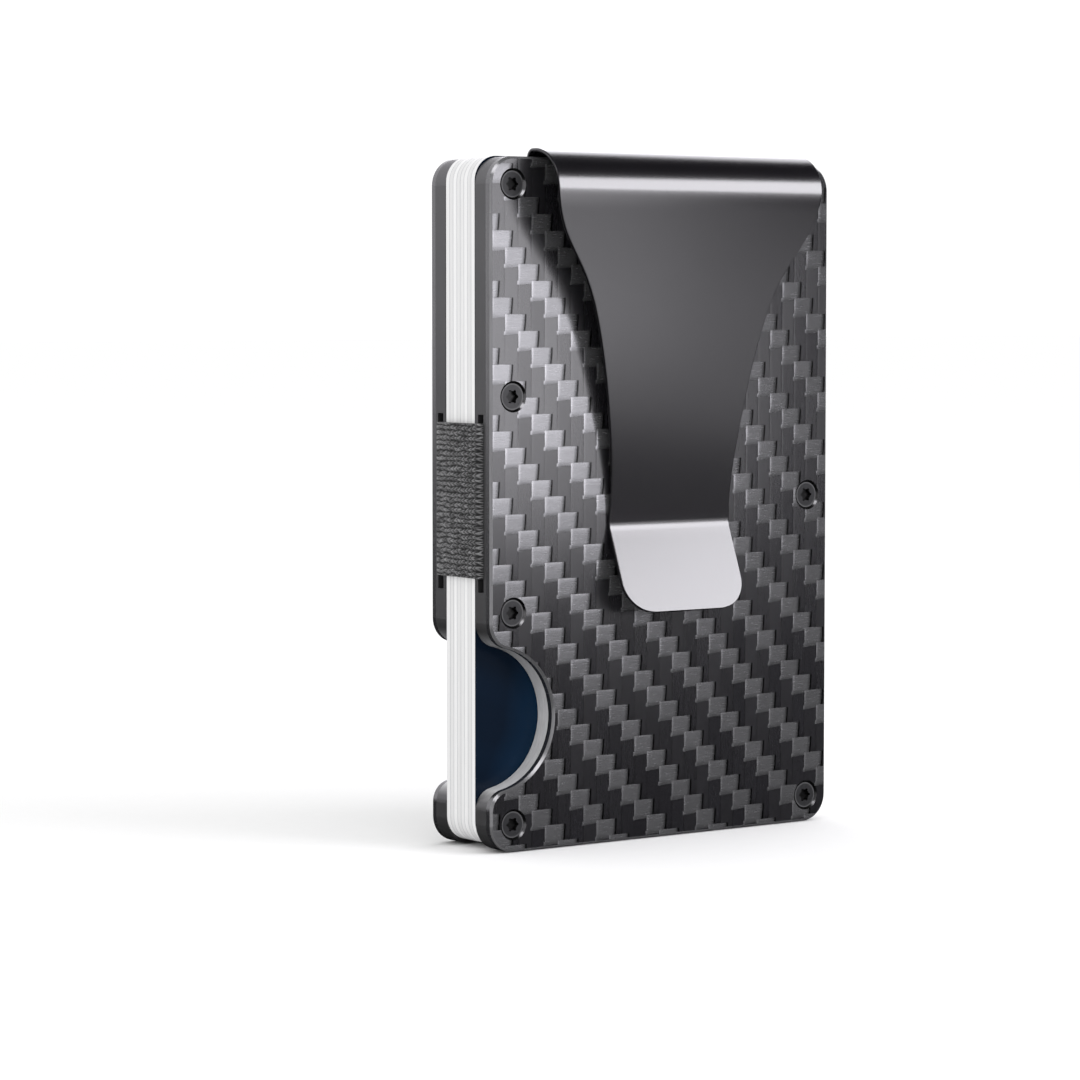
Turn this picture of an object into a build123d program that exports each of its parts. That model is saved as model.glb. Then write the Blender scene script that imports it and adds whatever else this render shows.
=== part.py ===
# Card wallet with a money clip. Two panels hold a stack of cards between them, two elastic
# straps pull the panels together, and a spring-steel clip on the front panel holds banknotes.
# Millimetres. X runs across the wallet, with the thumb notches on -X and the open side on +X.
# +Y points from the front panel, which carries the clip, to the rear panel. +Z is up: the
# wallet stands on its short bottom edge, and the origin is the middle of its footprint.

import os

from build123d import *

# ---- driving dimensions ----
panel_width = 54.0
panel_height = 86.0
panel_corner = 3.4
cover_thickness = 1.05
plate_thickness = 2.35
cover_bevel = 0.3
plate_edge_round = 0.15

card_count = 8
card_width = 53.98
card_height = 85.6
card_thickness = 0.76
card_corner = 3.18
card_gap = 0.02
card_lift = 0.55  # card bottoms above the panel bottoms, clear of the bottom strap

notch_radius = 9.0
notch_centre = (-26.5, 16.6)  # X, and height above the panel bottom
notch_upper_lip = 3.2
notch_lower_lip = 2.6

strap_width = 19.2
strap_thickness = 0.6
strap_slot_width = 22.0
strap_slot_depth = 1.2  # across the panel's thickness
strap_web = 0.5  # wall between a slot and the cover
strap_web_width = 2.2
strap_seat = 0.35  # middle of a strap behind the web
strap_height = 43.3  # middle of the side strap above the panel bottom
strap_bend = 0.5
top_strap_rise = 0.6  # inner face of the top strap above the panel tops
bottom_strap_drop = 0.12  # outer face of the bottom strap below the panel bottoms
lip_relief = 0.5
side_strap_gap = 0.03

screw_inset = 3.4
screw_heights = [3.4, 29.75, 56.5, 82.6]
head_radius = 1.65
head_recess = 0.2
shank_radius = 0.95
tapped_radius = 1.0
through_radius = 1.1
countersink_radius = 1.95
tapped_depth = 1.7
screw_tip_room = 0.1
socket_radius = 0.72
socket_lobe = 0.2
socket_depth = 0.6

peg_radius = 0.79
peg_hole = 0.8
peg_spacing = 10.0
peg_seat = 0.4
peg_top_gap = 0.05  # under the cover
strap_hole = 0.85
side_strap_end = -12.6
side_peg_x = -14.6

clip_centre = 0.5
clip_thickness = 0.42
clip_half_width = 21.0
shoulder_height = 83.5
taper = [(19.3, 76.8), (16.1, 72.0), (13.0, 64.7), (10.7, 54.2), (9.5, 42.0)]  # half width, height
tip_half_width = 9.6
tip_flat_half_width = 5.8
tip_corner_radius = 4.2
tip_corner_height = 33.2
tip_foot = 29.0
tab_depth = 1.29  # middle of the tab behind the front cover's face
tab_foot = 78.5
tab_bend = 1.0
arch_rise = 0.85  # middle of the strip at the top of the arch, above the panel tops
arch_radius = 4.9
belly = 5.12  # middle of the strip in front of the cover at the arch
split_stand_off = 0.05
split_gap = 0.04
arm_bow = [(4.88, 79.9), (3.56, 71.2), (1.7, 54.0)]  # stand-off from the cover, height
touch_height = 40.6
touch_stand_off = 0.27
touch_slope = 0.085
tip_bend_radius = 3.0
tip_bend_angle = 26.0
tip_length = 10.8
tab_recess_side = 0.3
clip_screw_x = 14.0
clip_screw_height = 81.6
clip_screw_head = 1.1
clip_screw_shank = 0.68
clip_screw_hole = 0.7
clip_screw_clearance = 0.04
clip_head_recess = 0.02
clip_screw_socket = 0.5
clip_screw_socket_depth = 0.35

lead_in_width = 4.0
lead_in_depth = 1.05
overrun = 1.0  # how far a cut runs on past the face that it opens

# ---- derived places ----
panel_thickness = cover_thickness + plate_thickness
stack = card_count * card_thickness + (card_count + 1) * card_gap
body_depth = 2 * panel_thickness + stack
clip_reach = belly + clip_thickness / 2
front_y = -(body_depth - clip_reach) / 2
rear_y = front_y + body_depth
base = bottom_strap_drop
arch_top = base + panel_height + arch_rise
split_y = front_y - split_stand_off
middle_height = base + panel_height / 2
left = -panel_width / 2
right = panel_width / 2
strap_level = cover_thickness + strap_web + strap_seat
pocket_depth = strap_web + strap_slot_depth
head_height = head_radius - shank_radius  # 45-degree cone
screw_end = cover_thickness + tapped_depth - screw_tip_room
side_z = base + strap_height
screw_x = right - screw_inset
screw_places = [(-screw_x, base + h) for h in screw_heights]
screw_places += [(screw_x, base + h) for h in (screw_heights[0], panel_height / 2, screw_heights[3])]
side_pegs = [(side_peg_x, side_z - peg_spacing / 2), (side_peg_x, side_z + peg_spacing / 2)]
end_pegs = [(-peg_spacing / 2, side_z), (peg_spacing / 2, side_z)]
clip_screw_places = [(clip_centre + s * clip_screw_x, base + clip_screw_height) for s in (-1, 1)]

os.makedirs("parts", exist_ok=True)


def save(part, label):
    """Name a finished piece and write its STEP file."""
    part.label = label
    export_step(part, f"parts/{label}.step")


def depth_plane(face_y, inward, depth):
    """The X-Z plane that lies this deep behind a panel's outer face."""
    return Plane.XZ.offset(-(face_y + inward * depth))


def panel_outline():
    """Panel seen from the front, with its thumb notch on the left edge."""
    with Locations((0, middle_height)):
        RectangleRounded(panel_width, panel_height, panel_corner)
    with Locations((notch_centre[0], base + notch_centre[1])):
        Circle(notch_radius, mode=Mode.SUBTRACT)


def round_notch_lips(sketch):
    """Round the two corners where the notch meets the left edge."""
    near = (left, base + notch_centre[1])
    mouth = sketch.vertices().sort_by_distance((near[0], near[1], 0))[:2].sort_by(Axis.Y)
    fillet(mouth[1], notch_upper_lip)
    mouth = sketch.vertices().sort_by_distance((left, base + notch_centre[1] - notch_radius, 0))
    fillet(mouth[0], notch_lower_lip)


# ---- the two panels, front and rear, mirror images but for the clip's seat ----
for side, face_y, inward in (("front", front_y, 1), ("rear", rear_y, -1)):
    cover_plane = depth_plane(face_y, inward, 0)
    plate_plane = depth_plane(face_y, inward, cover_thickness)
    slot_plane = depth_plane(face_y, inward, cover_thickness + strap_web)
    floor_plane = depth_plane(face_y, inward, cover_thickness + pocket_depth)
    inner_y = face_y + inward * panel_thickness

    with BuildPart() as cover:
        with BuildSketch(cover_plane) as outline:
            panel_outline()
            round_notch_lips(outline)
        extrude(amount=-inward * cover_thickness)
        outer_face = cover.faces().sort_by(Axis.Y)[0 if inward > 0 else -1]
        chamfer(outer_face.edges(), cover_bevel)
        with Locations(*[Plane(origin=(x, face_y, z), z_dir=(0, -inward, 0)) for x, z in screw_places]):
            CounterSinkHole(through_radius, countersink_radius, depth=cover_thickness, counter_sink_angle=90)
    save(cover.part, f"{side}_cover")

    with BuildPart() as plate:
        with BuildSketch(plate_plane) as outline:
            panel_outline()
            round_notch_lips(outline)
        extrude(amount=-inward * plate_thickness)
        inner_face = plate.faces().sort_by(Axis.Y)[-1 if inward > 0 else 0]
        fillet(inner_face.edges(), plate_edge_round)
        # pocket for both straps, open towards the cover
        with BuildSketch(plate_plane):
            with Locations((0, middle_height)):
                Rectangle(strap_slot_width, panel_height - 2 * strap_web_width)
            with Locations((left + strap_web_width, side_z)):
                Rectangle(right, strap_slot_width, align=(Align.MIN, Align.CENTER))
        extrude(amount=-inward * pocket_depth, mode=Mode.SUBTRACT)
        # slots that let the straps out through the top, bottom and left edges
        with BuildSketch(slot_plane):
            with Locations((0, middle_height)):
                Rectangle(strap_slot_width, panel_height + 2 * overrun)
            with Locations((left - overrun, side_z)):
                Rectangle(right, strap_slot_width, align=(Align.MIN, Align.CENTER))
        extrude(amount=-inward * strap_slot_depth, mode=Mode.SUBTRACT)
        # relief in the bottom lip, so that the strap lies nearly flush
        with BuildSketch(floor_plane):
            with Locations((0, base + lip_relief)):
                Rectangle(strap_slot_width, panel_width, align=(Align.CENTER, Align.MAX))
        extrude(amount=-inward * plate_thickness, mode=Mode.SUBTRACT)
        # tapped holes for the cover screws
        with BuildSketch(plate_plane):
            with Locations(*screw_places):
                Circle(tapped_radius)
        extrude(amount=-inward * tapped_depth, mode=Mode.SUBTRACT)
        # blind seats for the strap pegs
        with BuildSketch(floor_plane):
            with Locations(*side_pegs, *end_pegs):
                Circle(peg_hole)
        extrude(amount=-inward * peg_seat, mode=Mode.SUBTRACT)
        if side == "front":
            # seat for the clip's tab, open at the top edge, and its two tapped holes
            with BuildSketch(plate_plane):
                with Locations((clip_centre, base + tab_foot - tab_recess_side)):
                    Rectangle(
                        2 * (clip_half_width + tab_recess_side),
                        panel_height,
                        align=(Align.CENTER, Align.MIN),
                    )
            extrude(amount=-inward * strap_web, mode=Mode.SUBTRACT)
            with BuildSketch(slot_plane):
                with Locations(*clip_screw_places):
                    Circle(clip_screw_hole)
            extrude(amount=-inward * strap_slot_depth, mode=Mode.SUBTRACT)
        # sloped lead-in for the cards along the open side, its wedge twice as wide as the cut
        with BuildSketch(Plane.XY.offset(-overrun)):
            with BuildLine():
                Polyline(
                    (right - lead_in_width, inner_y),
                    (right + lead_in_width, inner_y),
                    (right + lead_in_width, inner_y - 2 * inward * lead_in_depth),
                    close=True,
                )
            make_face()
        extrude(amount=base + panel_height + 2 * overrun, mode=Mode.SUBTRACT)
    save(plate.part, f"{side}_inner_plate")

    with BuildPart() as screws:
        with BuildSketch(depth_plane(face_y, inward, head_recess)):
            with Locations(*screw_places):
                Circle(head_radius)
        extrude(amount=-inward * head_height, taper=45)
        with BuildSketch(depth_plane(face_y, inward, head_recess + head_height)):
            with Locations(*screw_places):
                Circle(shank_radius)
        extrude(amount=-inward * (screw_end - head_recess - head_height))
        with BuildSketch(depth_plane(face_y, inward, head_recess)):
            with Locations(*screw_places):
                Circle(socket_radius)
                with PolarLocations(socket_radius, 6):
                    Circle(socket_lobe)
        extrude(amount=-inward * socket_depth, mode=Mode.SUBTRACT)
    save(screws.part, f"{side}_cover_screws")

    with BuildPart() as pegs:
        with BuildSketch(depth_plane(face_y, inward, cover_thickness + peg_top_gap)):
            with Locations(*side_pegs, *end_pegs):
                Circle(peg_radius)
        extrude(amount=-inward * (pocket_depth + peg_seat - peg_top_gap))
    save(pegs.part, f"{side}_strap_pegs")

# ---- the money clip: one strip, split at the top of its arch, where it is taken to flex ----


def root_profile():
    """Side view of the clip's fixed end as its middle line: tab, bend and the start of the crown."""
    tab_y = front_y + tab_depth
    with BuildLine() as profile:
        tab = Line((tab_y, base + tab_foot), (tab_y, arch_top - tab_bend))
        bend = JernArc(tab @ 1, tab % 1, tab_bend, 90)
        Line(bend @ 1, (split_y + split_gap / 2, arch_top))
    return profile.line


def arm_profile():
    """Side view of the clip's springing end: crown, arch, arm, touch point and tip."""
    with BuildLine() as profile:
        crown = Line((split_y - split_gap / 2, arch_top), (front_y - belly + arch_radius, arch_top))
        arch = JernArc(crown @ 1, crown % 1, arch_radius, 90)
        arm = Spline(
            arch @ 1,
            *[(front_y - stand_off, base + height) for stand_off, height in arm_bow],
            (front_y - touch_stand_off, base + touch_height),
            tangents=[(0, -1), (touch_slope, -1)],
        )
        dip = JernArc(arm @ 1, arm % 1, tip_bend_radius, -tip_bend_angle)
        PolarLine(dip @ 1, tip_length, direction=dip % 1)
    return profile.line


def clip_outline():
    """Front view of the strip: wide rounded shoulders that taper to a narrow arm with a rounded tip."""
    top = arch_top + overrun
    foot = base + tip_foot
    with BuildLine() as outline:
        crown = Line((clip_centre, top), (clip_centre + clip_half_width, top))
        shoulder = Line(crown @ 1, (clip_centre + clip_half_width, base + shoulder_height))
        waist = Spline(
            shoulder @ 1,
            *[(clip_centre + half_width, base + height) for half_width, height in taper],
            tangents=[(0, -1), (0, -1)],
        )
        edge = Line(waist @ 1, (clip_centre + tip_half_width, base + tip_corner_height))
        corner = RadiusArc(edge @ 1, (clip_centre + tip_flat_half_width, foot), tip_corner_radius)
        Line(corner @ 1, (clip_centre, foot))
        mirror(about=Plane.YZ.offset(clip_centre))
    return outline.line


def clip_strip(profile):
    """Strip of the clip's thickness along a side profile, trimmed to the clip's front outline."""
    with BuildPart() as strip:
        with BuildSketch(Plane.YZ):
            trace(profile, line_width=clip_thickness)
        extrude(amount=clip_centre + clip_half_width + overrun, both=True)
        with BuildSketch(Plane.XZ.offset(-front_y)):
            make_face(clip_outline().edges())
        extrude(amount=clip_reach + overrun, both=True, mode=Mode.INTERSECT)
    return strip.part


with BuildPart() as clip_root:
    add(clip_strip(root_profile()))
    tab_face_y = front_y + tab_depth - clip_thickness / 2
    with Locations(*[Plane(origin=(x, tab_face_y, z), z_dir=(0, -1, 0)) for x, z in clip_screw_places]):
        CounterSinkHole(
            clip_screw_shank + clip_screw_clearance,
            clip_screw_head + clip_screw_clearance + clip_head_recess,
            depth=clip_thickness,
            counter_sink_angle=90,
        )
save(clip_root.part, "clip_root")

with BuildPart() as clip_arm:
    add(clip_strip(arm_profile()))
save(clip_arm.part, "clip_arm")

with BuildPart() as clip_screws:
    clip_head_depth = tab_depth - clip_thickness / 2 + clip_head_recess
    clip_head_height = clip_screw_head - clip_screw_shank
    with BuildSketch(depth_plane(front_y, 1, clip_head_depth)):
        with Locations(*clip_screw_places):
            Circle(clip_screw_head)
    extrude(amount=-clip_head_height, taper=45)
    with BuildSketch(depth_plane(front_y, 1, clip_head_depth + clip_head_height)):
        with Locations(*clip_screw_places):
            Circle(clip_screw_shank)
    extrude(amount=-(cover_thickness + pocket_depth - clip_head_depth - clip_head_height - screw_tip_room))
    with BuildSketch(depth_plane(front_y, 1, clip_head_depth)):
        with Locations(*clip_screw_places):
            RegularPolygon(clip_screw_socket, 6)
    extrude(amount=-clip_screw_socket_depth, mode=Mode.SUBTRACT)
save(clip_screws.part, "clip_screws")

# ---- the elastic straps, each divided where it leaves a panel ----
front_level = front_y + strap_level
rear_level = rear_y - strap_level
run_foot = base + strap_web_width / 2
run_top = base + panel_height - strap_web_width / 2

for side, level in (("front", front_level), ("rear", rear_level)):
    strap_plane = Plane.XZ.offset(-level)
    with BuildPart() as run:
        with BuildSketch(strap_plane):
            with Locations((0, run_foot)):
                Rectangle(strap_width, run_top - run_foot, align=(Align.CENTER, Align.MIN))
            with Locations(*end_pegs):
                Circle(strap_hole, mode=Mode.SUBTRACT)
        extrude(amount=strap_thickness / 2, both=True)
    save(run.part, f"end_strap_{side}_run")

    with BuildPart() as tail:
        with BuildSketch(strap_plane):
            with Locations((left + strap_web_width / 2, side_z)):
                Rectangle(
                    side_strap_end - left - strap_web_width / 2,
                    strap_width,
                    align=(Align.MIN, Align.CENTER),
                )
            with Locations(*side_pegs):
                Circle(strap_hole, mode=Mode.SUBTRACT)
        extrude(amount=strap_thickness / 2, both=True)
    save(tail.part, f"side_strap_{side}_tail")

side_line = left - side_strap_gap - strap_thickness / 2
top_line = base + panel_height + top_strap_rise + strap_thickness / 2
bottom_line = strap_thickness / 2

with BuildPart() as side_bridge:
    with BuildSketch(Plane.XY.offset(side_z)):
        with BuildLine():
            FilletPolyline(
                (left + strap_web_width / 2, front_level),
                (side_line, front_level),
                (side_line, rear_level),
                (left + strap_web_width / 2, rear_level),
                radius=strap_bend,
            )
        trace(line_width=strap_thickness)
    extrude(amount=strap_width / 2, both=True)
save(side_bridge.part, "side_strap_bridge")

for name, run_end, line in (("top", run_top, top_line), ("bottom", run_foot, bottom_line)):
    with BuildPart() as bridge:
        with BuildSketch(Plane.YZ):
            with BuildLine():
                FilletPolyline(
                    (front_level, run_end),
                    (front_level, line),
                    (rear_level, line),
                    (rear_level, run_end),
                    radius=strap_bend,
                )
            trace(line_width=strap_thickness)
        extrude(amount=strap_width / 2, both=True)
    save(bridge.part, f"end_strap_{name}_bridge")

# ---- the cards, number 1 next to the front panel ----
for number in range(1, card_count + 1):
    card_y = front_y + panel_thickness + number * card_gap + (number - 1) * card_thickness
    with BuildPart() as card:
        with BuildSketch(Plane.XZ.offset(-card_y)):
            with Locations((0, base + card_lift + card_height / 2)):
                RectangleRounded(card_width, card_height, card_corner)
        extrude(amount=-card_thickness)
    save(card.part, f"card_{number}")
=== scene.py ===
import math

import bpy
import numpy as np
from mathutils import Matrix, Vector


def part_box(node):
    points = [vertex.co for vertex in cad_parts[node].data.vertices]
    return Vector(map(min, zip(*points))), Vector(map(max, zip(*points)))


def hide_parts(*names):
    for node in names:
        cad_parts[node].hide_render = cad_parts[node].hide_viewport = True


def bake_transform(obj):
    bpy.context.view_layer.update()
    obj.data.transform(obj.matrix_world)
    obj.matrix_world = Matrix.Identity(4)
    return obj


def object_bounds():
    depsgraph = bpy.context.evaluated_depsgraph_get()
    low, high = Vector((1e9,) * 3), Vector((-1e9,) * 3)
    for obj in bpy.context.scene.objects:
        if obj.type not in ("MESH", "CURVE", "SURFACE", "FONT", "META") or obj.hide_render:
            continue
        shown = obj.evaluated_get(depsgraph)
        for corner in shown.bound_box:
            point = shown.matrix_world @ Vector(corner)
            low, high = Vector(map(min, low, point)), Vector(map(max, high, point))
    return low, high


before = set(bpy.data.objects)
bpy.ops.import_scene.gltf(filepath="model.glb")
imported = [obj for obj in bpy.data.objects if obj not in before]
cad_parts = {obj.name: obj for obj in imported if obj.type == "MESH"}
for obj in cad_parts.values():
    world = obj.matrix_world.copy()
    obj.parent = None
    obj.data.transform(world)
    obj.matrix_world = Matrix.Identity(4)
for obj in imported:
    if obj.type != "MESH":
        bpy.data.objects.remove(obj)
cad_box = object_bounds()

mm = 0.001

# ---- places taken from the frame ----
front_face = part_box("front_cover")[0].y
rear_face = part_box("rear_cover")[1].y
panel_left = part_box("front_cover")[0].x
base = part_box("front_cover")[0].z
panel_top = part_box("front_cover")[1].z
middle = (cad_box[0] + cad_box[1]) / 2

# ---- carbon weave: where one weft float starts, and how far its tows are apart ----
warp_pitch = 2.0055 * mm
weft_pitch = 2.0565 * mm
weave_corner = (1.258 * mm, -1.108 * mm)
weft_float = 1.5  # warp tows that a weft float shows over
repeat = 4
flare = 0.09  # how far a weft float's left end leans out at its foot, in warp pitches
lap_left = 0.24  # how far a weft float laps over the next row, in weft pitches
lap_right = 0.15

# ---- clip: one strip from its tab under the front cover, over the arch and down to the tip ----
clip_centre = 0.5 * mm
clip_half_thickness = 0.21 * mm
clip_half_width = 21.0 * mm
clip_edge = 0.09 * mm
tab_level = front_face + 1.29 * mm
tab_foot = base + 78.5 * mm
tab_bend = 1.0 * mm
arch_top = panel_top + 0.85 * mm
arch_radius = 4.9 * mm
arch_foot = (arch_top - arch_radius - base) / mm
# the arm as (height, stand-off from the cover), in mm
arm_bow = [(40.6, 0.27), (54.0, 1.7), (71.2, 3.56), (79.9, 4.88), (arch_foot, 5.12)]
touch_slope = 0.085
shoulder_height = 83.5
# the arm as (height, half width), in mm
clip_taper = [(42.0, 9.5), (54.2, 10.7), (64.7, 13.0), (72.0, 16.1), (76.8, 19.3), (83.5, 21.0)]
tip_bend_radius = 3.0 * mm
tip_bend_angle = math.radians(26)
tip_length = 10.8 * mm
tip_half_width = 9.6 * mm
tip_corner = 4.2 * mm
clip_screw_x = 14.0 * mm
clip_screw_height = base + 81.6 * mm
clip_screw_hole = 0.72 * mm
clip_columns = 40

# ---- thumb notches ----
notch_centre = (-26.5 * mm, base + 16.6 * mm)
notch_radius = 9.0 * mm

# ---- cover screws, in a left and a right column ----
screw_column = 23.6 * mm
screw_heights = (3.4, 29.75, 43.0, 56.5, 82.6)  # of both columns, above the panels' foot, in mm
# each head's paler outer ring is a painted highlight
screw_highlight_rim = (1.44 * mm, 1.52 * mm)  # where a head's flat gives way to its paler rim
socket_depth = 0.26 * mm  # below the panels' outer faces
countersink_radius = 2.1 * mm

# ---- elastic straps ----
strap_half_width = 9.6 * mm
strap_half_thickness = 0.3 * mm
strap_edge = 0.24 * mm
strap_bend = 0.5 * mm
strap_columns = 210
rib_pitch = 0.64 * mm
rib_height = 0.035 * mm
stitch_length = 0.78 * mm
side_strap_height = base + 43.3 * mm
side_strap_lift = 0.3 * mm
side_strap_gap = 0.33 * mm  # from the panels' left edge out to the strap's middle line
end_strap_rise = 0.9 * mm  # from the panels' top edge up to the strap's middle line
strap_front_level = front_face + 1.9 * mm
strap_rear_level = rear_face - 1.9 * mm
strap_crossing = strap_rear_level - strap_front_level - 2 * strap_bend
peg_spacing = 10.0 * mm
side_peg_x = -14.6 * mm
side_strap_end = -12.6 * mm
peg_hole = 0.85 * mm

# ---- cards ----
card_count = 8
navy_face = ((0.003, 0.008, 0.018), (0.004, 0.035, 0.090))
white_face = ((0.38, 0.39, 0.41), (0.55, 0.55, 0.54))
chip_across = (-6 * mm, 6 * mm)
chip_up = (base + 63 * mm, base + 74 * mm)
stripe_across = (-20 * mm, -8 * mm)
stripe_up = (0.0, 1.0)  # past both ends of the card


class Shader:
    """One material's node tree, with short calls for the nodes used here."""

    def __init__(self, name):
        self.material = bpy.data.materials.new(name)
        self.material.use_nodes = True
        self.tree = self.material.node_tree
        self.surface = self.tree.nodes["Principled BSDF"]
        self.where = self.node("ShaderNodeTexCoord").outputs

    def node(self, kind, **settings):
        made = self.tree.nodes.new(kind)
        for key, value in settings.items():
            setattr(made, key, value)
        return made

    def feed(self, socket, value):
        """Link an output to a socket, or set the socket to a plain value."""
        if isinstance(value, bpy.types.NodeSocket):
            self.tree.links.new(value, socket)
        else:
            socket.default_value = value

    def math(self, operation, *values, clamp=False):
        """One step of arithmetic on numbers."""
        made = self.node("ShaderNodeMath", operation=operation, use_clamp=clamp)
        for socket, value in zip(made.inputs, values):
            self.feed(socket, value)
        return made.outputs[0]

    def vector(self, operation, *values):
        """One step of arithmetic on vectors."""
        made = self.node("ShaderNodeVectorMath", operation=operation)
        for socket, value in zip(made.inputs, values):
            self.feed(socket, value)
        return made.outputs[0]

    def split(self, vector):
        made = self.node("ShaderNodeSeparateXYZ")
        self.feed(made.inputs[0], vector)
        return made.outputs

    def join(self, x, y, z):
        made = self.node("ShaderNodeCombineXYZ")
        for socket, value in zip(made.inputs, (x, y, z)):
            self.feed(socket, value)
        return made.outputs[0]

    def remap(self, value, low, high, out_low=0.0, out_high=1.0):
        """Value between low and high turned into out_low to out_high, and held at both ends."""
        made = self.node("ShaderNodeMapRange")
        for socket, number in zip(made.inputs, (value, low, high, out_low, out_high)):
            self.feed(socket, number)
        return made.outputs[0]

    def mix(self, share, a, b):
        """Colour a at share 0 and b at share 1."""
        made = self.node("ShaderNodeMix", data_type="RGBA")
        self.feed(made.inputs["Factor"], share)
        self.feed(made.inputs[6], (*a, 1) if isinstance(a, tuple) else a)
        self.feed(made.inputs[7], (*b, 1) if isinstance(b, tuple) else b)
        return made.outputs[2]

    def lerp(self, share, a, b):
        """Number a at share 0 and b at share 1."""
        made = self.node("ShaderNodeMix", data_type="FLOAT")
        for socket, value in zip(made.inputs[:1] + made.inputs[2:4], (share, a, b)):
            self.feed(socket, value)
        return made.outputs[0]

    def scale(self, colour, share):
        """Colour times a number."""
        made = self.node("ShaderNodeVectorMath", operation="SCALE")
        self.feed(made.inputs[0], colour)
        self.feed(made.inputs["Scale"], share)
        return made.outputs[0]

    def noise(self, vector, size, detail=2.0, stretch=(1, 1, 1), roughness=0.5):
        """Noise whose grains are about size across, or size over stretch along each axis."""
        made = self.node("ShaderNodeTexNoise")
        self.feed(made.inputs["Vector"], self.vector("MULTIPLY", vector, stretch))
        self.feed(made.inputs["Scale"], 1 / size)
        self.feed(made.inputs["Detail"], detail)
        self.feed(made.inputs["Roughness"], roughness)
        return made.outputs["Fac"]

    def random(self, number):
        """A number from 0 to 1 that is the same wherever number is."""
        made = self.node("ShaderNodeTexWhiteNoise", noise_dimensions="1D")
        self.feed(made.inputs["W"], number)
        return made.outputs["Value"]

    def bulge(self, share, power):
        """1 in the middle of a strip and 0 at both edges, where share runs from 0 to 1 across it."""
        from_middle = self.math("ABSOLUTE", self.math("MULTIPLY_ADD", share, 2.0, -1.0))
        return self.math("SUBTRACT", 1.0, self.math("POWER", from_middle, power), clamp=True)

    def bump(self, height, depth):
        """Surface normal for a height from 0 to 1 that stands for this depth."""
        made = self.node("ShaderNodeBump")
        self.feed(made.inputs["Height"], height)
        self.feed(made.inputs["Distance"], depth)
        self.feed(made.inputs["Strength"], 1.0)
        self.feed(self.surface.inputs["Normal"], made.outputs[0])

    def set(self, **values):
        """Principled sockets by name, with _ for a space."""
        for name, value in values.items():
            self.feed(self.surface.inputs[name.replace("_", " ")], value)


# ---- materials ----


def screw_radius(s, x, z):
    """Distance from the nearest cover screw's axis."""
    dx = s.math("SUBTRACT", s.math("ABSOLUTE", x), screw_column)
    nearest = None
    for height in screw_heights:
        dz = s.math("ABSOLUTE", s.math("SUBTRACT", z, base + height * mm))
        nearest = dz if nearest is None else s.math("MINIMUM", nearest, dz)
    squares = s.math("ADD", s.math("MULTIPLY", dx, dx), s.math("MULTIPLY", nearest, nearest))
    return s.math("SQRT", squares)


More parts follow.
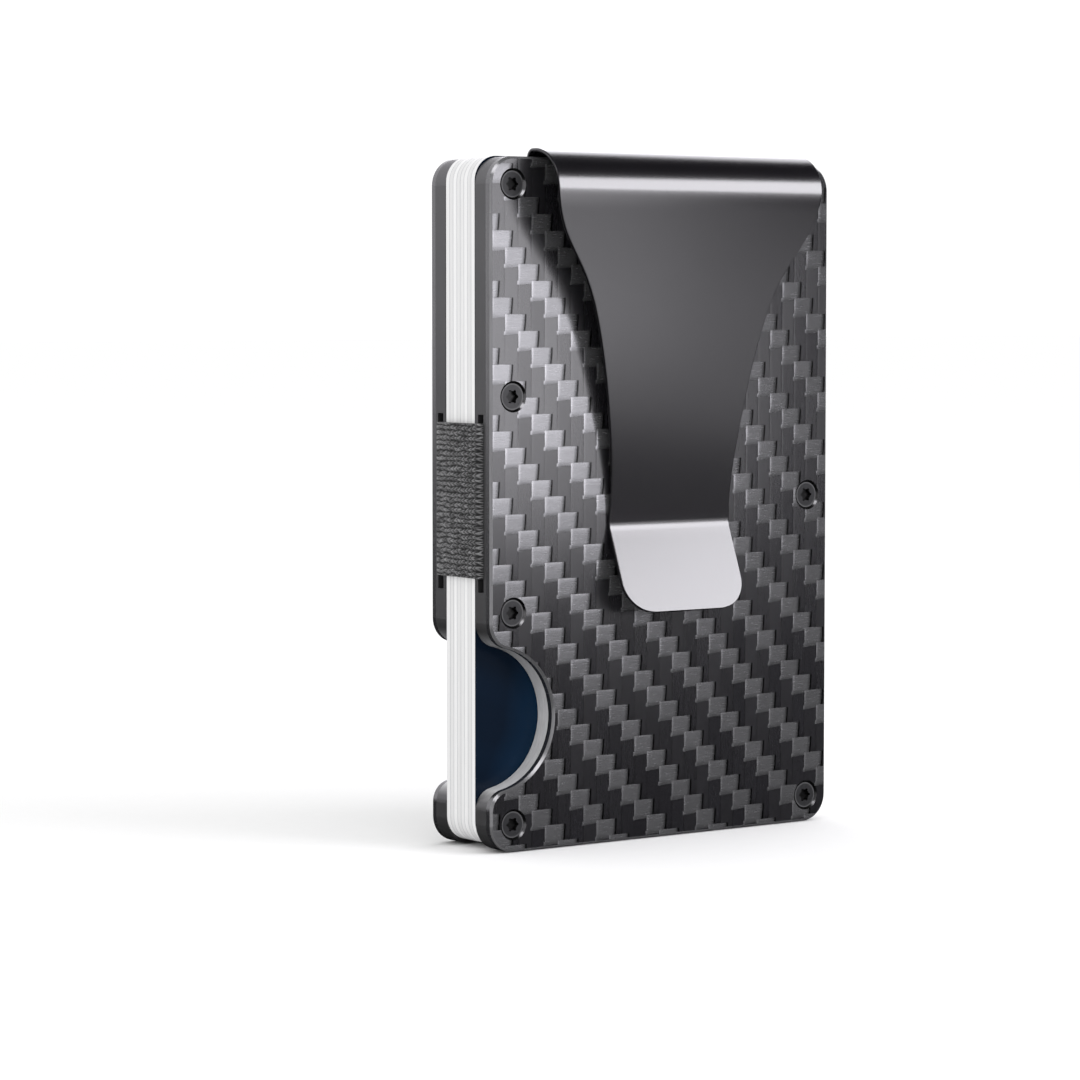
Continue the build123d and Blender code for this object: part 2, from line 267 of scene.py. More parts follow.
def carbon_weave():
    """Twill of carbon tows under satin lacquer.

    Short weft floats step down to the right over long warp floats; the weft's grey is a painted sheen,
    since both tows are the same black carbon.
    """
    s = Shader("carbon_weave")
    # painted sheen: the weft is the warp's black carbon, greyed where it catches the light
    weft_painted_sheen = (0.190, 0.190, 0.197)
    warp_black = (0.0125, 0.0120, 0.0145)
    cut_edge = (0.022, 0.022, 0.024)
    bevel_painted_highlight = (0.10, 0.10, 0.104)
    countersink_painted_shade = (0.003, 0.003, 0.003)
    here = s.where["Object"]
    x, _, z = s.split(here)
    warps_right = s.math("DIVIDE", s.math("SUBTRACT", x, weave_corner[0]), warp_pitch)
    wefts_down = s.math("DIVIDE", s.math("SUBTRACT", weave_corner[1], z), weft_pitch)
    row = s.math("FLOOR", wefts_down)
    column = s.math("FLOOR", warps_right)
    into_row = s.math("SUBTRACT", wefts_down, row)
    across_warp = s.math("SUBTRACT", warps_right, column)
    from_float = s.math("FLOORED_MODULO", s.math("SUBTRACT", warps_right, row), float(repeat))

    # a weft float flares to the left as it goes down, and laps over the top of the next row
    own_start = s.math("MULTIPLY_ADD", s.math("POWER", into_row, 2.0), flare, from_float)
    own = s.math("LESS_THAN", own_start, weft_float)
    from_upper = s.math("FLOORED_MODULO", s.math("ADD", from_float, 1.0 + flare), float(repeat))
    lap = s.remap(from_upper, 0.0, weft_float, lap_left, lap_right)
    under_float = s.math("LESS_THAN", from_upper, weft_float)
    upper = s.math("MULTIPLY", under_float, s.math("LESS_THAN", into_row, lap))
    weft = s.math("MAXIMUM", own, upper)
    warp = s.math("SUBTRACT", 1.0, weft)
    along_weft = s.math("DIVIDE", s.lerp(own, from_upper, own_start), weft_float)
    across_weft = s.math("DIVIDE", s.lerp(own, s.math("ADD", into_row, 1.0), into_row), 1.0 + lap_left)
    from_crossing = s.math("FLOORED_MODULO", s.math("SUBTRACT", wefts_down, column), float(repeat))
    along_warp = s.math("DIVIDE", s.math("SUBTRACT", from_crossing, 1.0), repeat - 1.0, clamp=True)

    weft_height = s.math("MULTIPLY", s.bulge(along_weft, 5.0), s.bulge(across_weft, 5.0))
    warp_height = s.math("MULTIPLY", s.bulge(along_warp, 4.0), s.bulge(across_warp, 8.0))
    height = s.lerp(weft, s.math("MULTIPLY", warp_height, 0.45), weft_height)

    weft_fibres = s.noise(here, 0.13 * mm, detail=4.0, stretch=(0.09, 1, 1), roughness=0.7)
    warp_fibres = s.noise(here, 0.13 * mm, detail=4.0, stretch=(1, 1, 0.09), roughness=0.7)
    fibres = s.lerp(weft, warp_fibres, weft_fibres)
    tow = s.lerp(weft, s.random(column), s.random(s.math("ADD", row, 100.0)))

    # painted highlight where a weft float comes up on the left, and painted shade where it dives on the
    # right and along its lower edge
    rise = s.remap(along_weft, 0.0, 0.14, 1.7, 1.0)
    dive_painted_shade = s.remap(along_weft, 0.84, 1.0, 1.0, 0.35)
    lower_edge_painted_shade = s.remap(across_weft, 0.72, 1.0, 1.0, 0.6)
    weft_shade = s.math("MULTIPLY", s.math("MULTIPLY", rise, dive_painted_shade), lower_edge_painted_shade)
    # painted shade along the edges and ends of each warp tow
    warp_shade = s.remap(warp_height, 0.0, 0.7, 0.5, 1.0)
    shade = s.lerp(weft, warp_shade, weft_shade)
    shade = s.math("MULTIPLY", shade, s.remap(fibres, 0.3, 0.7, 0.84, 1.16))
    shade = s.math("MULTIPLY", shade, s.remap(tow, 0.0, 1.0, 0.9, 1.1))
    # painted shadow: a black line in the dip where a weft float goes under
    dip_painted_shadow = s.math("MULTIPLY", s.remap(own_start, weft_float + 0.05, weft_float + 0.15, 1.0, 0.0), warp)
    shade = s.math("MULTIPLY", shade, s.math("SUBTRACT", 1.0, dip_painted_shadow))
    colour = s.scale(s.mix(weft, warp_black, weft_painted_sheen), shade)

    # off the flat face: a pale bevel that is a painted highlight, countersinks painted black as shade,
    # and layers on the cut edge
    facing = s.math("ABSOLUTE", s.split(s.where["Normal"])[1])
    face = s.math("GREATER_THAN", facing, 0.85)
    layers = s.noise(here, 0.2 * mm, stretch=(0.02, 1, 0.02))
    bevel = s.math("GREATER_THAN", facing, 0.4)
    edge = s.mix(bevel, cut_edge, bevel_painted_highlight)
    countersunk = s.math("LESS_THAN", screw_radius(s, x, z), countersink_radius)
    edge = s.mix(countersunk, edge, countersink_painted_shade)
    edge = s.scale(edge, s.remap(layers, 0.35, 0.65, 0.8, 1.2))
    s.set(Base_Color=s.mix(face, edge, colour))

    # each warp float lies at its own slight slant, and so shines more or less
    floats_down = s.math("DIVIDE", s.math("SUBTRACT", wefts_down, column), float(repeat))
    float_number = s.math("FLOOR", floats_down)
    own_shine = s.random(s.math("MULTIPLY_ADD", float_number, 57.0, column))
    dulled = s.math("MULTIPLY", warp, s.remap(own_shine, 0.0, 1.0, -0.03, 0.06))
    s.set(Roughness=s.math("ADD", s.remap(fibres, 0.3, 0.7, 0.24, 0.28), dulled))
    # the weft mirrors in its painted sheen grey, and the painted shadow of the dip, dark and metallic,
    # mirrors nothing
    s.set(Metallic=s.math("MULTIPLY", s.math("MULTIPLY_ADD", weft, 0.7, dip_painted_shadow), face))
    s.set(Anisotropic=0.4, IOR=1.74, Coat_Weight=0.2, Coat_Roughness=0.22)

    # highlights spread across the fibres: up and down on the weft, sideways on the warp
    along_x = s.math("MULTIPLY", warp, face)
    along_z = s.math("MULTIPLY", weft, face)
    spread = s.node(
        "ShaderNodeVectorTransform", vector_type="VECTOR", convert_from="OBJECT", convert_to="WORLD"
    )
    s.feed(spread.inputs[0], s.join(along_x, s.math("SUBTRACT", 1.0, face), along_z))
    s.set(Tangent=spread.outputs[0])
    relief = s.math("MULTIPLY_ADD", fibres, 0.03, height)
    s.bump(s.math("MULTIPLY", relief, face), 0.018 * mm)
    return s.material


def dark_anodised():
    """Bead-blasted, black anodised frame plate, with a pale bright-cut wall round its thumb notch that
    is partly a painted highlight.
    """
    s = Shader("dark_anodised")
    here = s.where["Object"]
    x, _, z = s.split(here)
    dx = s.math("SUBTRACT", x, notch_centre[0])
    dz = s.math("SUBTRACT", z, notch_centre[1])
    radius = s.math("SQRT", s.math("ADD", s.math("MULTIPLY", dx, dx), s.math("MULTIPLY", dz, dz)))
    # the pale wall fades out at the panel's left edge, and darkens towards the notch's top as painted
    # shade
    near_notch = s.math("LESS_THAN", radius, notch_radius + 2 * mm)
    top_painted_shade = s.remap(dz, 0.0, notch_radius, 1.0, 0.35)
    machined_and_highlight = s.math("MULTIPLY", near_notch, s.remap(x, panel_left + 0.2 * mm, panel_left + 1.6 * mm))
    machined_and_highlight = s.math("MULTIPLY", machined_and_highlight, top_painted_shade)
    grain = s.noise(here, 0.12 * mm, detail=3.0)
    cloud = s.noise(here, 9 * mm)
    cutter = s.noise(here, 0.16 * mm, stretch=(0.1, 1, 0.1))
    dark = s.scale((0.030, 0.030, 0.031), s.remap(cloud, 0.3, 0.7, 0.85, 1.15))
    # pale: bright metal, made brighter as a painted highlight
    pale = s.scale((0.62, 0.62, 0.63), s.remap(cutter, 0.3, 0.7, 0.85, 1.1))
    s.set(Base_Color=s.mix(machined_and_highlight, dark, pale))
    s.set(Roughness=s.lerp(machined_and_highlight, s.remap(grain, 0.3, 0.7, 0.34, 0.44), 0.30), IOR=1.6)
    s.bump(s.lerp(machined_and_highlight, grain, cutter), 0.004 * mm)
    return s.material


def clip_steel():
    """Spring steel with a satin black coat."""
    s = Shader("clip_steel")
    here = s.where["Object"]
    grain = s.noise(here, 0.10 * mm, detail=3.0)
    cloud = s.noise(here, 7 * mm)
    s.set(Base_Color=s.mix(cloud, (0.0050, 0.0046, 0.0058), (0.0070, 0.0064, 0.0082)))
    s.set(Roughness=s.remap(grain, 0.3, 0.7, 0.20, 0.24), IOR=1.55)
    s.bump(grain, 0.002 * mm)
    return s.material


def black_screw():
    """Black oxide steel with faint rings turned round each screw's centre, a paler head edge that is a
    painted highlight, and painted shade in the socket.
    """
    s = Shader("black_screw")
    here = s.where["Object"]
    x, y, z = s.split(here)
    radius = screw_radius(s, x, z)
    rings = s.math("SINE", s.math("MULTIPLY", radius, 2 * math.pi / (0.16 * mm)))
    rim_painted_highlight = s.remap(radius, *screw_highlight_rim)
    depth = s.math("ABSOLUTE", s.math("SUBTRACT", y, (front_face + rear_face) / 2))
    in_socket = s.math("LESS_THAN", depth, (rear_face - front_face) / 2 - socket_depth)
    grain = s.noise(here, 0.08 * mm, detail=3.0)
    tone = s.mix(rim_painted_highlight, (0.024, 0.024, 0.026), (0.075, 0.075, 0.078))
    # the socket's near-black is painted shade
    tone = s.mix(in_socket, tone, (0.004, 0.004, 0.004))
    s.set(Base_Color=s.scale(tone, s.remap(grain, 0.3, 0.7, 0.75, 1.25)))
    s.set(Roughness=s.remap(grain, 0.3, 0.7, 0.30, 0.42), IOR=1.4)
    s.bump(s.math("MULTIPLY_ADD", rings, 0.5, grain), 0.003 * mm)
    return s.material


def peg_steel():
    """Plain turned steel."""
    s = Shader("peg_steel")
    grain = s.noise(s.where["Object"], 0.1 * mm, stretch=(1, 0.1, 1))
    s.set(Base_Color=s.scale((0.55, 0.54, 0.52), s.remap(grain, 0.3, 0.7, 0.85, 1.1)))
    s.set(Metallic=1.0, Roughness=s.remap(grain, 0.3, 0.7, 0.25, 0.4))
    s.bump(grain, 0.003 * mm)
    return s.material


def elastic():
    """Knitted elastic, where each rib is a column of crossing threads.

    The weave map runs in metres, across the strap and along it.
    """
    s = Shader("elastic")
    across, along, _ = s.split(s.node("ShaderNodeUVMap", uv_map="weave").outputs[0])
    here = s.join(across, along, 0.0)
    drift = s.noise(here, 1.3 * mm, detail=1.0)
    rib = s.math("ADD", s.math("DIVIDE", across, rib_pitch), s.remap(drift, 0.25, 0.75, -0.3, 0.3))
    in_rib = s.math("FRACT", s.math("ADD", rib, 0.5))
    side = s.math("PINGPONG", rib, 0.5)
    wander = s.noise(here, 0.9 * mm, detail=2.0)
    stitch = s.math("DIVIDE", s.math("MULTIPLY_ADD", wander, 0.7 * mm, along), stitch_length)
    slant = s.math("FRACT", s.math("ADD", stitch, s.math("MULTIPLY", side, 1.8)))
    thread = s.bulge(slant, 1.6)
    fuzz = s.noise(here, 0.07 * mm, detail=3.0)
    patch = s.noise(here, 0.7 * mm, detail=3.0, stretch=(1, 0.5, 1))
    # the crossing threads stand out towards the front edge, and lie closer towards the rear one
    y = s.split(s.where["Object"])[1]
    open_knit = s.remap(y, 1 * mm, 8 * mm, 0.95, 0.4)
    knit = s.lerp(open_knit, 1.0, thread)
    height = s.math("MULTIPLY", knit, s.remap(s.bulge(in_rib, 2.0), 0.0, 0.9, 0.12, 1.0))
    # painted shade in the grooves between threads and a painted highlight on the raised ones, then
    # random tone from fuzz and patches
    light = s.remap(height, 0.2, 0.9, 0.06, 1.0)
    light = s.math("MULTIPLY", light, s.remap(fuzz, 0.25, 0.75, 0.35, 1.65))
    light = s.math("MULTIPLY", light, s.remap(patch, 0.35, 0.65, 0.45, 1.55))
    s.set(Base_Color=s.scale((0.155, 0.155, 0.158), light))
    s.set(Roughness=0.85, Sheen_Weight=0.05, Sheen_Roughness=0.4)
    s.bump(s.math("MULTIPLY_ADD", fuzz, 0.3, height), 0.12 * mm)
    return s.material


def card_plastic(name, face_a, face_b, front, rear, edge_tone):
    """Laminated card with white core edges.

    The face is printed in two tones with a contact chip, and the back carries a magnetic stripe.
    """
    s = Shader(name)
    here = s.where["Object"]
    x, y, z = s.split(here)
    normal_y = s.split(s.where["Normal"])[1]
    glow = s.noise(here, 22 * mm, detail=1.0, stretch=(1, 0, 0.6))
    turns = s.math("MULTIPLY", z, 2 * math.pi / (9 * mm))
    wave = s.math("SINE", s.math("ADD", turns, s.math("MULTIPLY", x, 260.0)))
    inwards = s.remap(x, -27 * mm, -17 * mm, -0.15, 0.6)
    share = s.math("ADD", inwards, s.remap(glow, 0.3, 0.7, -0.25, 0.4), clamp=True)
    share = s.math("ADD", share, s.math("MULTIPLY", wave, 0.03), clamp=True)
    face = s.mix(share, face_a, face_b)

    def box_mask(low_x, high_x, low_z, high_z):
        """1 inside a rectangle of the face and 0 outside it."""
        inside_x = s.math("MULTIPLY", s.math("GREATER_THAN", x, low_x), s.math("LESS_THAN", x, high_x))
        inside_z = s.math("MULTIPLY", s.math("GREATER_THAN", z, low_z), s.math("LESS_THAN", z, high_z))
        return s.math("MULTIPLY", inside_x, inside_z)

    chip = box_mask(*chip_across, *chip_up)
    chip_line = s.math("LESS_THAN", s.math("PINGPONG", s.math("ADD", x, 1 * mm), 2 * mm), 0.12 * mm)
    gold = s.mix(chip_line, (0.38, 0.27, 0.11), (0.14, 0.10, 0.045))
    face = s.mix(chip, face, gold)
    stripe = box_mask(*stripe_across, *stripe_up)
    back = s.mix(stripe, (0.72, 0.72, 0.70), (0.02, 0.018, 0.016))
    depth = s.remap(y, front, rear)
    laminate = s.math("LESS_THAN", s.bulge(depth, 1.0), 0.16)
    streak = s.noise(here, 1.2 * mm, detail=3.0, stretch=(1, 8, 0.08))
    edge = s.mix(laminate, (0.79, 0.79, 0.79), (0.66, 0.66, 0.67))
    edge = s.scale(edge, s.remap(streak, 0.3, 0.7, 0.94 * edge_tone, 1.03 * edge_tone))
    colour = s.mix(s.math("LESS_THAN", normal_y, -0.5), edge, face)
    colour = s.mix(s.math("GREATER_THAN", normal_y, 0.5), colour, back)
    grain = s.noise(here, 0.25 * mm, detail=2.0)
    s.set(Base_Color=colour, Roughness=s.remap(grain, 0.3, 0.7, 0.22, 0.26), IOR=1.2)
    s.bump(grain, 0.0006 * mm)
    return s.material


def floor_paper():
    """Plain white paper."""
    s = Shader("floor_paper")
    grain = s.noise(s.where["Object"], 2 * mm)
    s.set(Base_Color=s.mix(grain, (0.90, 0.90, 0.90), (0.92, 0.92, 0.92)), Roughness=1.0)
    s.set(Specular_IOR_Level=0.0)
    return s.material


# ---- mesh helpers ----


def section(half_width, half_thickness, edge, columns):
    """Points round a flat band's section as (across, out).

    They run over the outer face, the right edge, the inner face and the left edge.
    """
    flat = half_width - edge
    stand = half_thickness - edge
    inset = min(2 * edge, flat / 4)
    even = np.linspace(inset - flat, flat - inset, columns - 1)
    across = np.concatenate([[-flat], even, [flat]])
    arc = np.radians(np.linspace(90, -90, 7))[1:-1]
    lift = np.where(arc > 0, stand, np.where(arc < 0, -stand, 0.0))
    right_edge = np.stack([flat + edge * np.cos(arc), lift + edge * np.sin(arc)], 1)
    outer = np.stack([across, np.full_like(across, half_thickness)], 1)
    inner = np.stack([across[::-1], np.full_like(across, -half_thickness)], 1)
    left_edge = -right_edge
    return np.concatenate([outer, right_edge, inner, left_edge])


def band(name, rows, across, columns, edge, closed=False, ribs=0.0):
    """Flat strip along rows of (centre, outward direction, half width, half thickness).

    Its weave map holds the distances across and along it, in metres.
    """
    vertices, maps, along = [], [], 0.0
    for number, (centre, out, half_width, half_thickness) in enumerate(rows):
        if number:
            along += (centre - rows[number - 1][0]).length
        for side, lift in section(half_width, half_thickness, edge, columns):
            if ribs and abs(lift) > half_thickness - 1e-9:
                lift *= 1 + ribs * (abs(math.cos(math.pi * side / rib_pitch)) - 1) / half_thickness
            vertices.append(centre + across * side + out * lift)
            maps.append((side, along))
    around = len(vertices) // len(rows)
    faces = []
    joins = len(rows) if closed else len(rows) - 1
    for row in range(joins):
        here, there = row * around, (row + 1) % len(rows) * around
        for k in range(around):
            faces.append((here + k, there + k, there + (k + 1) % around, here + (k + 1) % around))
    if not closed:
        last = (len(rows) - 1) * around
        half = around // 2
        for start, flip in ((0, False), (last, True)):
            for k in range(columns):
                opposite = start + half + columns - k
                cap = [start + k, start + k + 1, opposite - 1, opposite]
                faces.append(cap[::-1] if flip else cap)
            for corner in (columns, half + columns):
                ring = [start + (corner + k) % around for k in range(half - columns + 1)]
                faces.append(ring[::-1] if flip else ring)
    mesh = bpy.data.meshes.new(name)
    mesh.from_pydata(vertices, [], faces)
    layer = mesh.uv_layers.new(name="weave")
    for loop in mesh.loops:
        layer.data[loop.index].uv = maps[loop.vertex_index]
    mesh.shade_smooth()
    piece = bpy.data.objects.new(name, mesh)
    bpy.context.collection.objects.link(piece)
    return piece


def drill(piece, places, radius):
    """Cut round holes along Y through a strip."""
    for place in places:
        bpy.ops.mesh.primitive_cylinder_add(
            vertices=32, radius=radius, depth=2 * mm, location=place, rotation=(math.pi / 2, 0, 0)
        )
        tool = bpy.context.object
        cut = piece.modifiers.new("hole", "BOOLEAN")
        cut.operation = "DIFFERENCE"
        cut.object = tool
        bpy.context.view_layer.update()
        drilled = piece.evaluated_get(bpy.context.evaluated_depsgraph_get())
        mesh = bpy.data.meshes.new_from_object(drilled)
        piece.modifiers.clear()
        piece.data = mesh
        bpy.data.objects.remove(tool)


def clamped_spline(points, first_slope, last_slope):
    """Cubic spline through (x, y) points with given end slopes.

    It comes back as a function of x that returns value and slope.
    """
    x, y = np.array(points, float).T
    gap = np.diff(x)
    rise = np.diff(y) / gap
    size = len(x)
    matrix, right = np.zeros((size, size)), np.zeros(size)
    matrix[0, :2], right[0] = (2 * gap[0], gap[0]), 6 * (rise[0] - first_slope)
    matrix[-1, -2:], right[-1] = (gap[-1], 2 * gap[-1]), 6 * (last_slope - rise[-1])
    for k in range(1, size - 1):
        matrix[k, k - 1 : k + 2] = gap[k - 1], 2 * (gap[k - 1] + gap[k]), gap[k]
        right[k] = 6 * (rise[k] - rise[k - 1])
    bend = np.linalg.solve(matrix, right)

    def evaluate(place):
        k = min(max(int(np.searchsorted(x, place)) - 1, 0), size - 2)
        a, b = x[k + 1] - place, place - x[k]
        low, high = bend[k], bend[k + 1]
        left, end = y[k] / gap[k] - low * gap[k] / 6, y[k + 1] / gap[k] - high * gap[k] / 6
        value = (low * a**3 + high * b**3) / (6 * gap[k]) + left * a + end * b
        slope = (high * b**2 - low * a**2) / (2 * gap[k]) - left + end
        return value, slope

    return evaluate


class Pen:
    """Draws a line in a plane, and remembers each place with its heading."""

    def __init__(self, place, heading):
        self.place, self.heading = Vector(place), heading
        self.marks = [(self.place.copy(), heading)]

    def ahead(self, turned=0.0):
        """Unit vector along the heading, or turned to its left by an angle."""
        return Vector((math.cos(self.heading + turned), math.sin(self.heading + turned)))

    def mark(self):
        self.marks.append((self.place.copy(), self.heading))

    def straight(self, length, steps):
        for _ in range(steps):
            self.place += self.ahead() * length / steps
            self.mark()

    def turn(self, radius, angle, steps):
        """Turn left for a positive angle and right for a negative one."""
        side = math.copysign(math.pi / 2, angle)
        centre = self.place + radius * self.ahead(side)
        for _ in range(steps):
            self.heading += angle / steps
            self.place = centre - radius * self.ahead(side)
            self.mark()


# ---- pieces ----


def clip_marks():
    """The clip's middle line from the tab's foot to the tip, drawn in (-Y, Z)."""
    pen = Pen((-tab_level, tab_foot), math.pi / 2)
    pen.straight(arch_top - tab_bend - tab_foot, 8)
    pen.turn(tab_bend, -math.pi / 2, 10)
    belly = -front_face + arm_bow[-1][1] * mm
    pen.straight(belly - arch_radius - pen.place[0], 2)
    pen.turn(arch_radius, -math.pi / 2, 24)
    bow = clamped_spline(arm_bow, touch_slope, 0.0)
    for height in np.linspace(arm_bow[-1][0], arm_bow[0][0], 57)[1:]:
        stand_off, slope = bow(height)
        pen.place = Vector((-front_face + stand_off * mm, base + height * mm))
        pen.heading = -math.pi / 2 - math.atan(slope)
        pen.mark()
    pen.turn(tip_bend_radius, tip_bend_angle, 10)
    pen.straight(tip_length - tip_corner, 6)
    return pen


def clip_rows():
    """Rows of the clip: full width over the arch, tapering down the arm to a round-cornered tip."""
    taper = clamped_spline(clip_taper, 0.0, 0.0)
    pen = clip_marks()

    def half_width(up):
        height = (up - base) / mm
        if height >= shoulder_height:
            return clip_half_width
        if height <= clip_taper[0][0]:
            return tip_half_width
        return taper(height)[0] * mm

    places = []
    for place, heading in pen.marks:
        places.append((place, heading, half_width(place[1]), clip_half_thickness))

    # round corners of the tip, then the small round of its end edge
    tip, heading, ahead = pen.place, pen.heading, pen.ahead()
    for angle in np.radians(np.linspace(0, 90, 15))[1:]:
        reach = (tip_corner - clip_edge) * math.sin(angle)
        width = tip_half_width - tip_corner + tip_corner * math.cos(angle)
        width = max(width, tip_half_width - tip_corner + clip_edge)
        places.append((tip + ahead * reach, heading, width, clip_half_thickness))
    for angle in np.radians((30, 60, 85)):
        reach = tip_corner - clip_edge + clip_edge * math.sin(angle)
        less = clip_edge * (1 - math.cos(angle))
        places.append((tip + ahead * reach, heading, places[-1][2] - less, clip_half_thickness - less))

    rows = []
    for place, heading, width, thickness in places:
        out = Vector((0, -math.cos(heading + math.pi / 2), math.sin(heading + math.pi / 2)))
        rows.append((Vector((clip_centre, -place[0], place[1])), out, width, thickness))
    return rows


def money_clip():
    """One strip of spring steel, screwed under the front cover, that bends at its crown."""
    piece = band("money_clip", clip_rows(), Vector((1, 0, 0)), clip_columns, clip_edge)
    holes = [(clip_centre + side * clip_screw_x, tab_level, clip_screw_height) for side in (-1, 1)]
    drill(piece, holes, clip_screw_hole)
    piece.data.materials.append(materials["clip_steel"])
    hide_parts("clip_root", "clip_arm")
    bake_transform(piece)
    return piece


def side_strap():
    """One elastic band round the left edge, between the pegs in both panels, drawn in (Y, X)."""
    tail = side_strap_end - (panel_left - side_strap_gap) - strap_bend
    pen = Pen((strap_front_level, side_strap_end), -math.pi / 2)
    pen.straight(tail, 14)
    pen.turn(strap_bend, math.pi / 2, 6)
    pen.straight(strap_crossing, 40)
    pen.turn(strap_bend, math.pi / 2, 6)
    pen.straight(tail, 14)
    rows = []
    for place, heading in pen.marks:
        out = Vector((math.sin(heading - math.pi / 2), math.cos(heading - math.pi / 2), 0))
        centre = Vector((place[1], place[0], side_strap_height + side_strap_lift))
        rows.append((centre, out, strap_half_width, strap_half_thickness))
    piece = band("side_strap", rows, Vector((0, 0, 1)), strap_columns, strap_edge, ribs=rib_height)
    holes = [
        (side_peg_x, level, side_strap_height + side * peg_spacing / 2)
        for level in (strap_front_level, strap_rear_level)
        for side in (-1, 1)
    ]
    drill(piece, holes, peg_hole)
    finish_strap(piece, ["side_strap_front_tail", "side_strap_rear_tail", "side_strap_bridge"])
    return piece


def end_strap():
    """One sewn loop of elastic, up the front panel and down the rear one, drawn in (Y, Z)."""
    foot = strap_half_thickness
    top = panel_top + end_strap_rise
    pen = Pen((strap_front_level, (foot + top) / 2), math.pi / 2)
    half_rise = (top - foot) / 2 - strap_bend
    pen.straight(half_rise, 12)
    for run, steps in ((2 * half_rise, 24), (half_rise, 12)):
        pen.turn(strap_bend, -math.pi / 2, 6)
        pen.straight(strap_crossing, 40)
        pen.turn(strap_bend, -math.pi / 2, 6)
        pen.straight(run, steps)
    rows = []
    for place, heading in pen.marks[:-1]:
        out = Vector((0, math.cos(heading + math.pi / 2), math.sin(heading + math.pi / 2)))
        rows.append((Vector((0, place[0], place[1])), out, strap_half_width, strap_half_thickness))
    across = Vector((1, 0, 0))
    piece = band("end_strap", rows, across, strap_columns, strap_edge, closed=True, ribs=rib_height)
    holes = [
        (side * peg_spacing / 2, level, side_strap_height)
        for level in (strap_front_level, strap_rear_level)
        for side in (-1, 1)
    ]
    drill(piece, holes, peg_hole)
    runs = ["end_strap_front_run", "end_strap_rear_run"]
    bridges = ["end_strap_top_bridge", "end_strap_bottom_bridge"]
    finish_strap(piece, runs + bridges)
    return piece


def finish_strap(piece, nodes):
    """What both straps share: material, and hiding the nodes that it stands for."""
    piece.data.materials.append(materials["elastic"])
    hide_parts(*nodes)
    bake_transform(piece)


def dress_nodes():
    """Materials of the CAD nodes that stay in view."""
    finish_of = {
        "cover": "carbon_weave",
        "inner_plate": "dark_anodised",
        "cover_screws": "black_screw",
        "strap_pegs": "peg_steel",
    }
    for side in ("front", "rear"):
        for part, finish in finish_of.items():
            dress(f"{side}_{part}", materials[finish])
    dress("clip_screws", materials["black_screw"])
    for number in range(1, card_count + 1):
        name = f"card_{number}"
        low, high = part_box(name)
        tones = navy_face if number == 1 else white_face
        edge_tone = 0.97 + 0.07 * math.sin(2.4 * number)  # no two neighbours are equally white
        dress(name, card_plastic(f"{name}_plastic", *tones, low.y, high.y, edge_tone))


def dress(name, material):
    """Give a CAD node this material alone."""
    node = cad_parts[name]
    node.data.materials.clear()
    node.data.materials.append(material)


# ---- studio ----

softbox_tint = (0.99, 0.975, 1.025)
white = (1, 1, 1, 1)
sky_strength = 1.1
floor_reach = 6.0


def softbox(
    name, azimuth, elevation, distance, size, radiance, glossy=True, diffuse=True, only=None
):
    """A soft rectangular light that faces the wallet, or that lights only one piece of it.

    Angles are in degrees and lengths in metres. Azimuth 0 is in front of the wallet, at -Y, and
    90 is at +X.
    """
    turn, rise = math.radians(azimuth), math.radians(elevation)
    level = math.cos(rise)
    towards = Vector((math.sin(turn) * level, -math.cos(turn) * level, math.sin(rise)))
    light = bpy.data.lights.new(name, "AREA")
    light.shape = "RECTANGLE"
    light.size, light.size_y = size
    light.color = softbox_tint
    light.energy = radiance * math.pi * size[0] * size[1]
    lamp = bpy.data.objects.new(name, light)
    lamp.location = middle + towards * distance
    lamp.rotation_euler = (-towards).to_track_quat("-Z", "Y").to_euler()
    lamp.visible_camera = False
    lamp.visible_glossy = glossy
    lamp.visible_diffuse = diffuse
    bpy.context.collection.objects.link(lamp)
    if only:
        lit = bpy.data.collections.new(name + "_lights")
        lit.objects.link(only)
        lamp.light_linking.receiver_collection = lit


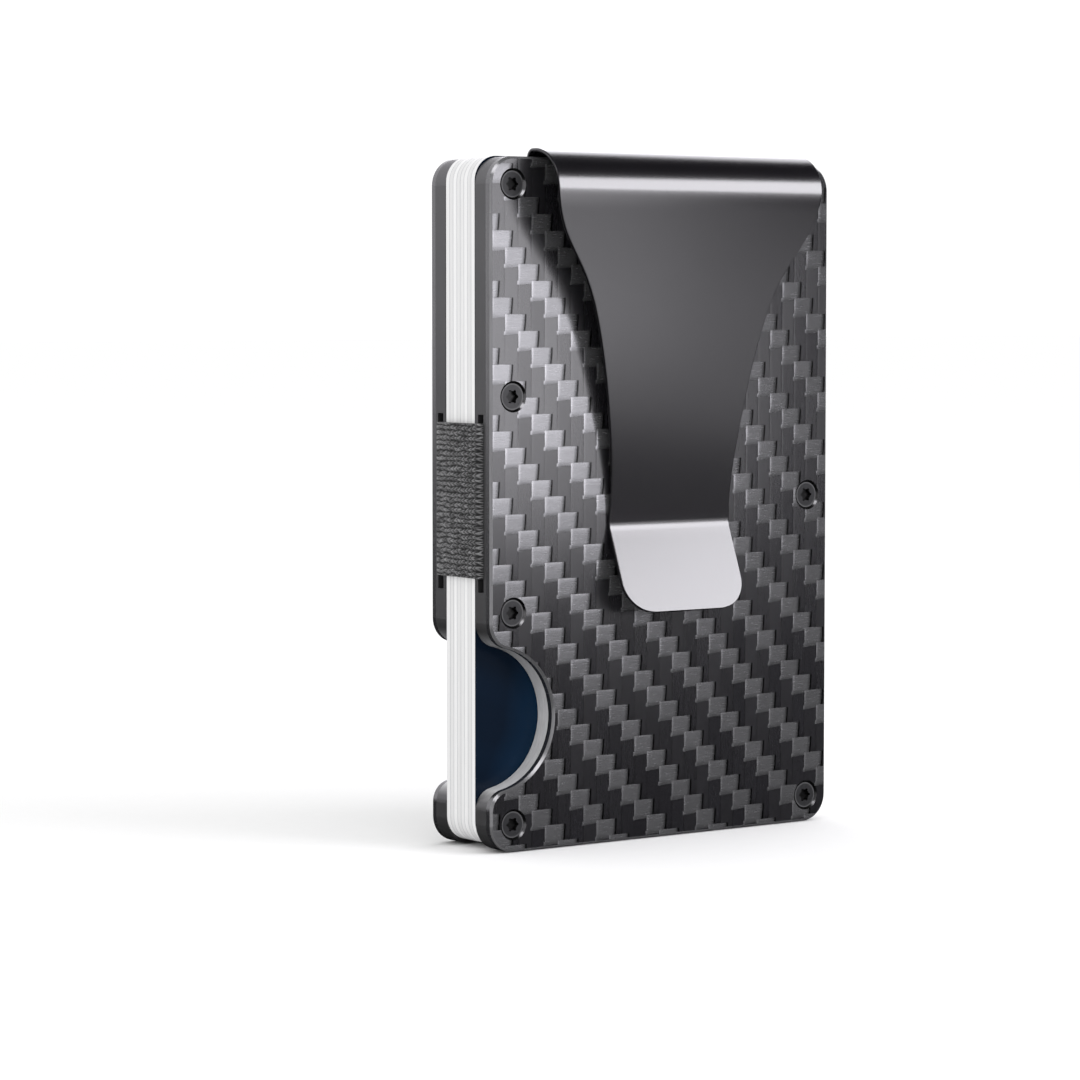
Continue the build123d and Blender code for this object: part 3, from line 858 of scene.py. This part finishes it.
def studio(clip):
    """White paper floor, even white sky, and softboxes that the wallet mirrors."""
    mesh = bpy.data.meshes.new("floor")
    corners = [(-1, -1), (1, -1), (1, 1), (-1, 1)]
    mesh.from_pydata([(x * floor_reach, y * floor_reach, 0) for x, y in corners], [], [(0, 1, 2, 3)])
    mesh.materials.append(floor_paper())
    floor = bpy.data.objects.new("floor", mesh)
    floor.visible_glossy = False
    bpy.context.collection.objects.link(floor)

    world = bpy.data.worlds.new("studio")
    bpy.context.scene.world = world
    world.use_nodes = True
    sky = world.node_tree.nodes["Background"].inputs
    sky["Color"].default_value = white
    sky["Strength"].default_value = sky_strength
    world.cycles_visibility.glossy = False

    # in front: two that only the clip mirrors, one that lights faces without a reflection, one low
    softbox("key", 40, 18.5, 0.6, (0.42, 0.27), 14.8, diffuse=False, only=clip)
    softbox("fill", 40, 30, 0.6, (0.42, 0.27), 5.0, glossy=False)
    softbox("low_panel", 14, 7, 0.2, (0.167, 0.085), 3.8, diffuse=False)
    softbox("arm_panel", 32, 0.6, 0.1, (0.12, 0.030), 1.1, diffuse=False, only=clip)
    # at the sides and behind, for the edges, the rear cover and the notch's wall
    softbox("left_strip", 300, 6, 0.5, (0.15, 0.4), 2.2, diffuse=False)
    softbox("back_wall", 180, 22, 0.9, (2.4, 0.8), 1.6, diffuse=False)
    softbox("back_right", 130, 35, 0.8, (0.5, 0.4), 4.0, diffuse=False)
    softbox("notch_light", 312, 50, 0.6, (0.30, 0.30), 9.0, diffuse=False)


focal_length = 120.25
viewpoint = (-0.281058, -0.366221, 0.067634)
line_of_sight = Vector((0.58401, 0.80919, -0.06442))


def camera():
    """The photo's view of the wallet, from the left and a little above its middle."""
    lens = bpy.data.cameras.new("camera")
    lens.lens = focal_length
    lens.clip_start = 0.01
    eye = bpy.data.objects.new("camera", lens)
    eye.location = viewpoint
    eye.rotation_euler = line_of_sight.to_track_quat("-Z", "Y").to_euler()
    bpy.context.collection.objects.link(eye)
    bpy.context.scene.camera = eye
    bpy.context.scene.view_settings.view_transform = "Standard"


makers = (carbon_weave, dark_anodised, clip_steel, black_screw, peg_steel, elastic)
materials = {make.__name__: make() for make in makers}
camera()
dress_nodes()
studio(money_clip())
side_strap()
end_strap()
